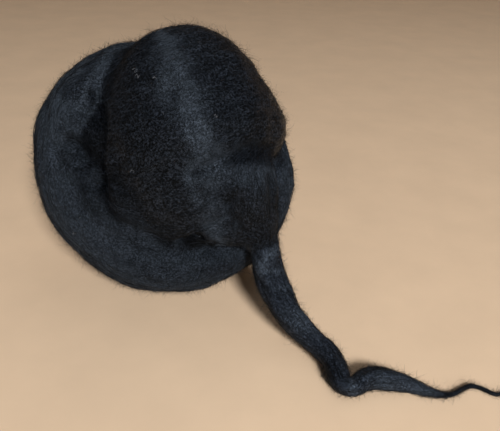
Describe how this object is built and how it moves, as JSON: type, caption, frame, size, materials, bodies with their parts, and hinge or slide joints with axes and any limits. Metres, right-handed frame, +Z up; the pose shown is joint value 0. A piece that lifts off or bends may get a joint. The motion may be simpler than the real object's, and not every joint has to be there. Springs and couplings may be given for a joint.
{
  "type": "wool roving ball",
  "caption": "Hand-wound ball of black unspun wool roving with its loose end drawn out, kinked and tapering to a wisp on the surface it rests on.",
  "frame": {"origin": "on the surface the ball rests on, under the middle of the ball's bounds (the loose end not counted)", "axes": "+Z up from the surface; -Y towards the side where the loose end leaves the ball; +X towards the wispy tip of the loose end"},
  "size_m": [0.1542, 0.1079, 0.0911],
  "materials": {
    "black_wool": "combed unspun wool, matt with a soft bluish grey sheen",
    "black_wool_end": "combed unspun wool, matt with a soft bluish grey sheen"
  },
  "bodies": {
    "root": {"roving_ball": "black_wool", "loose_end": "black_wool_end"}
  },
  "joints": []
}
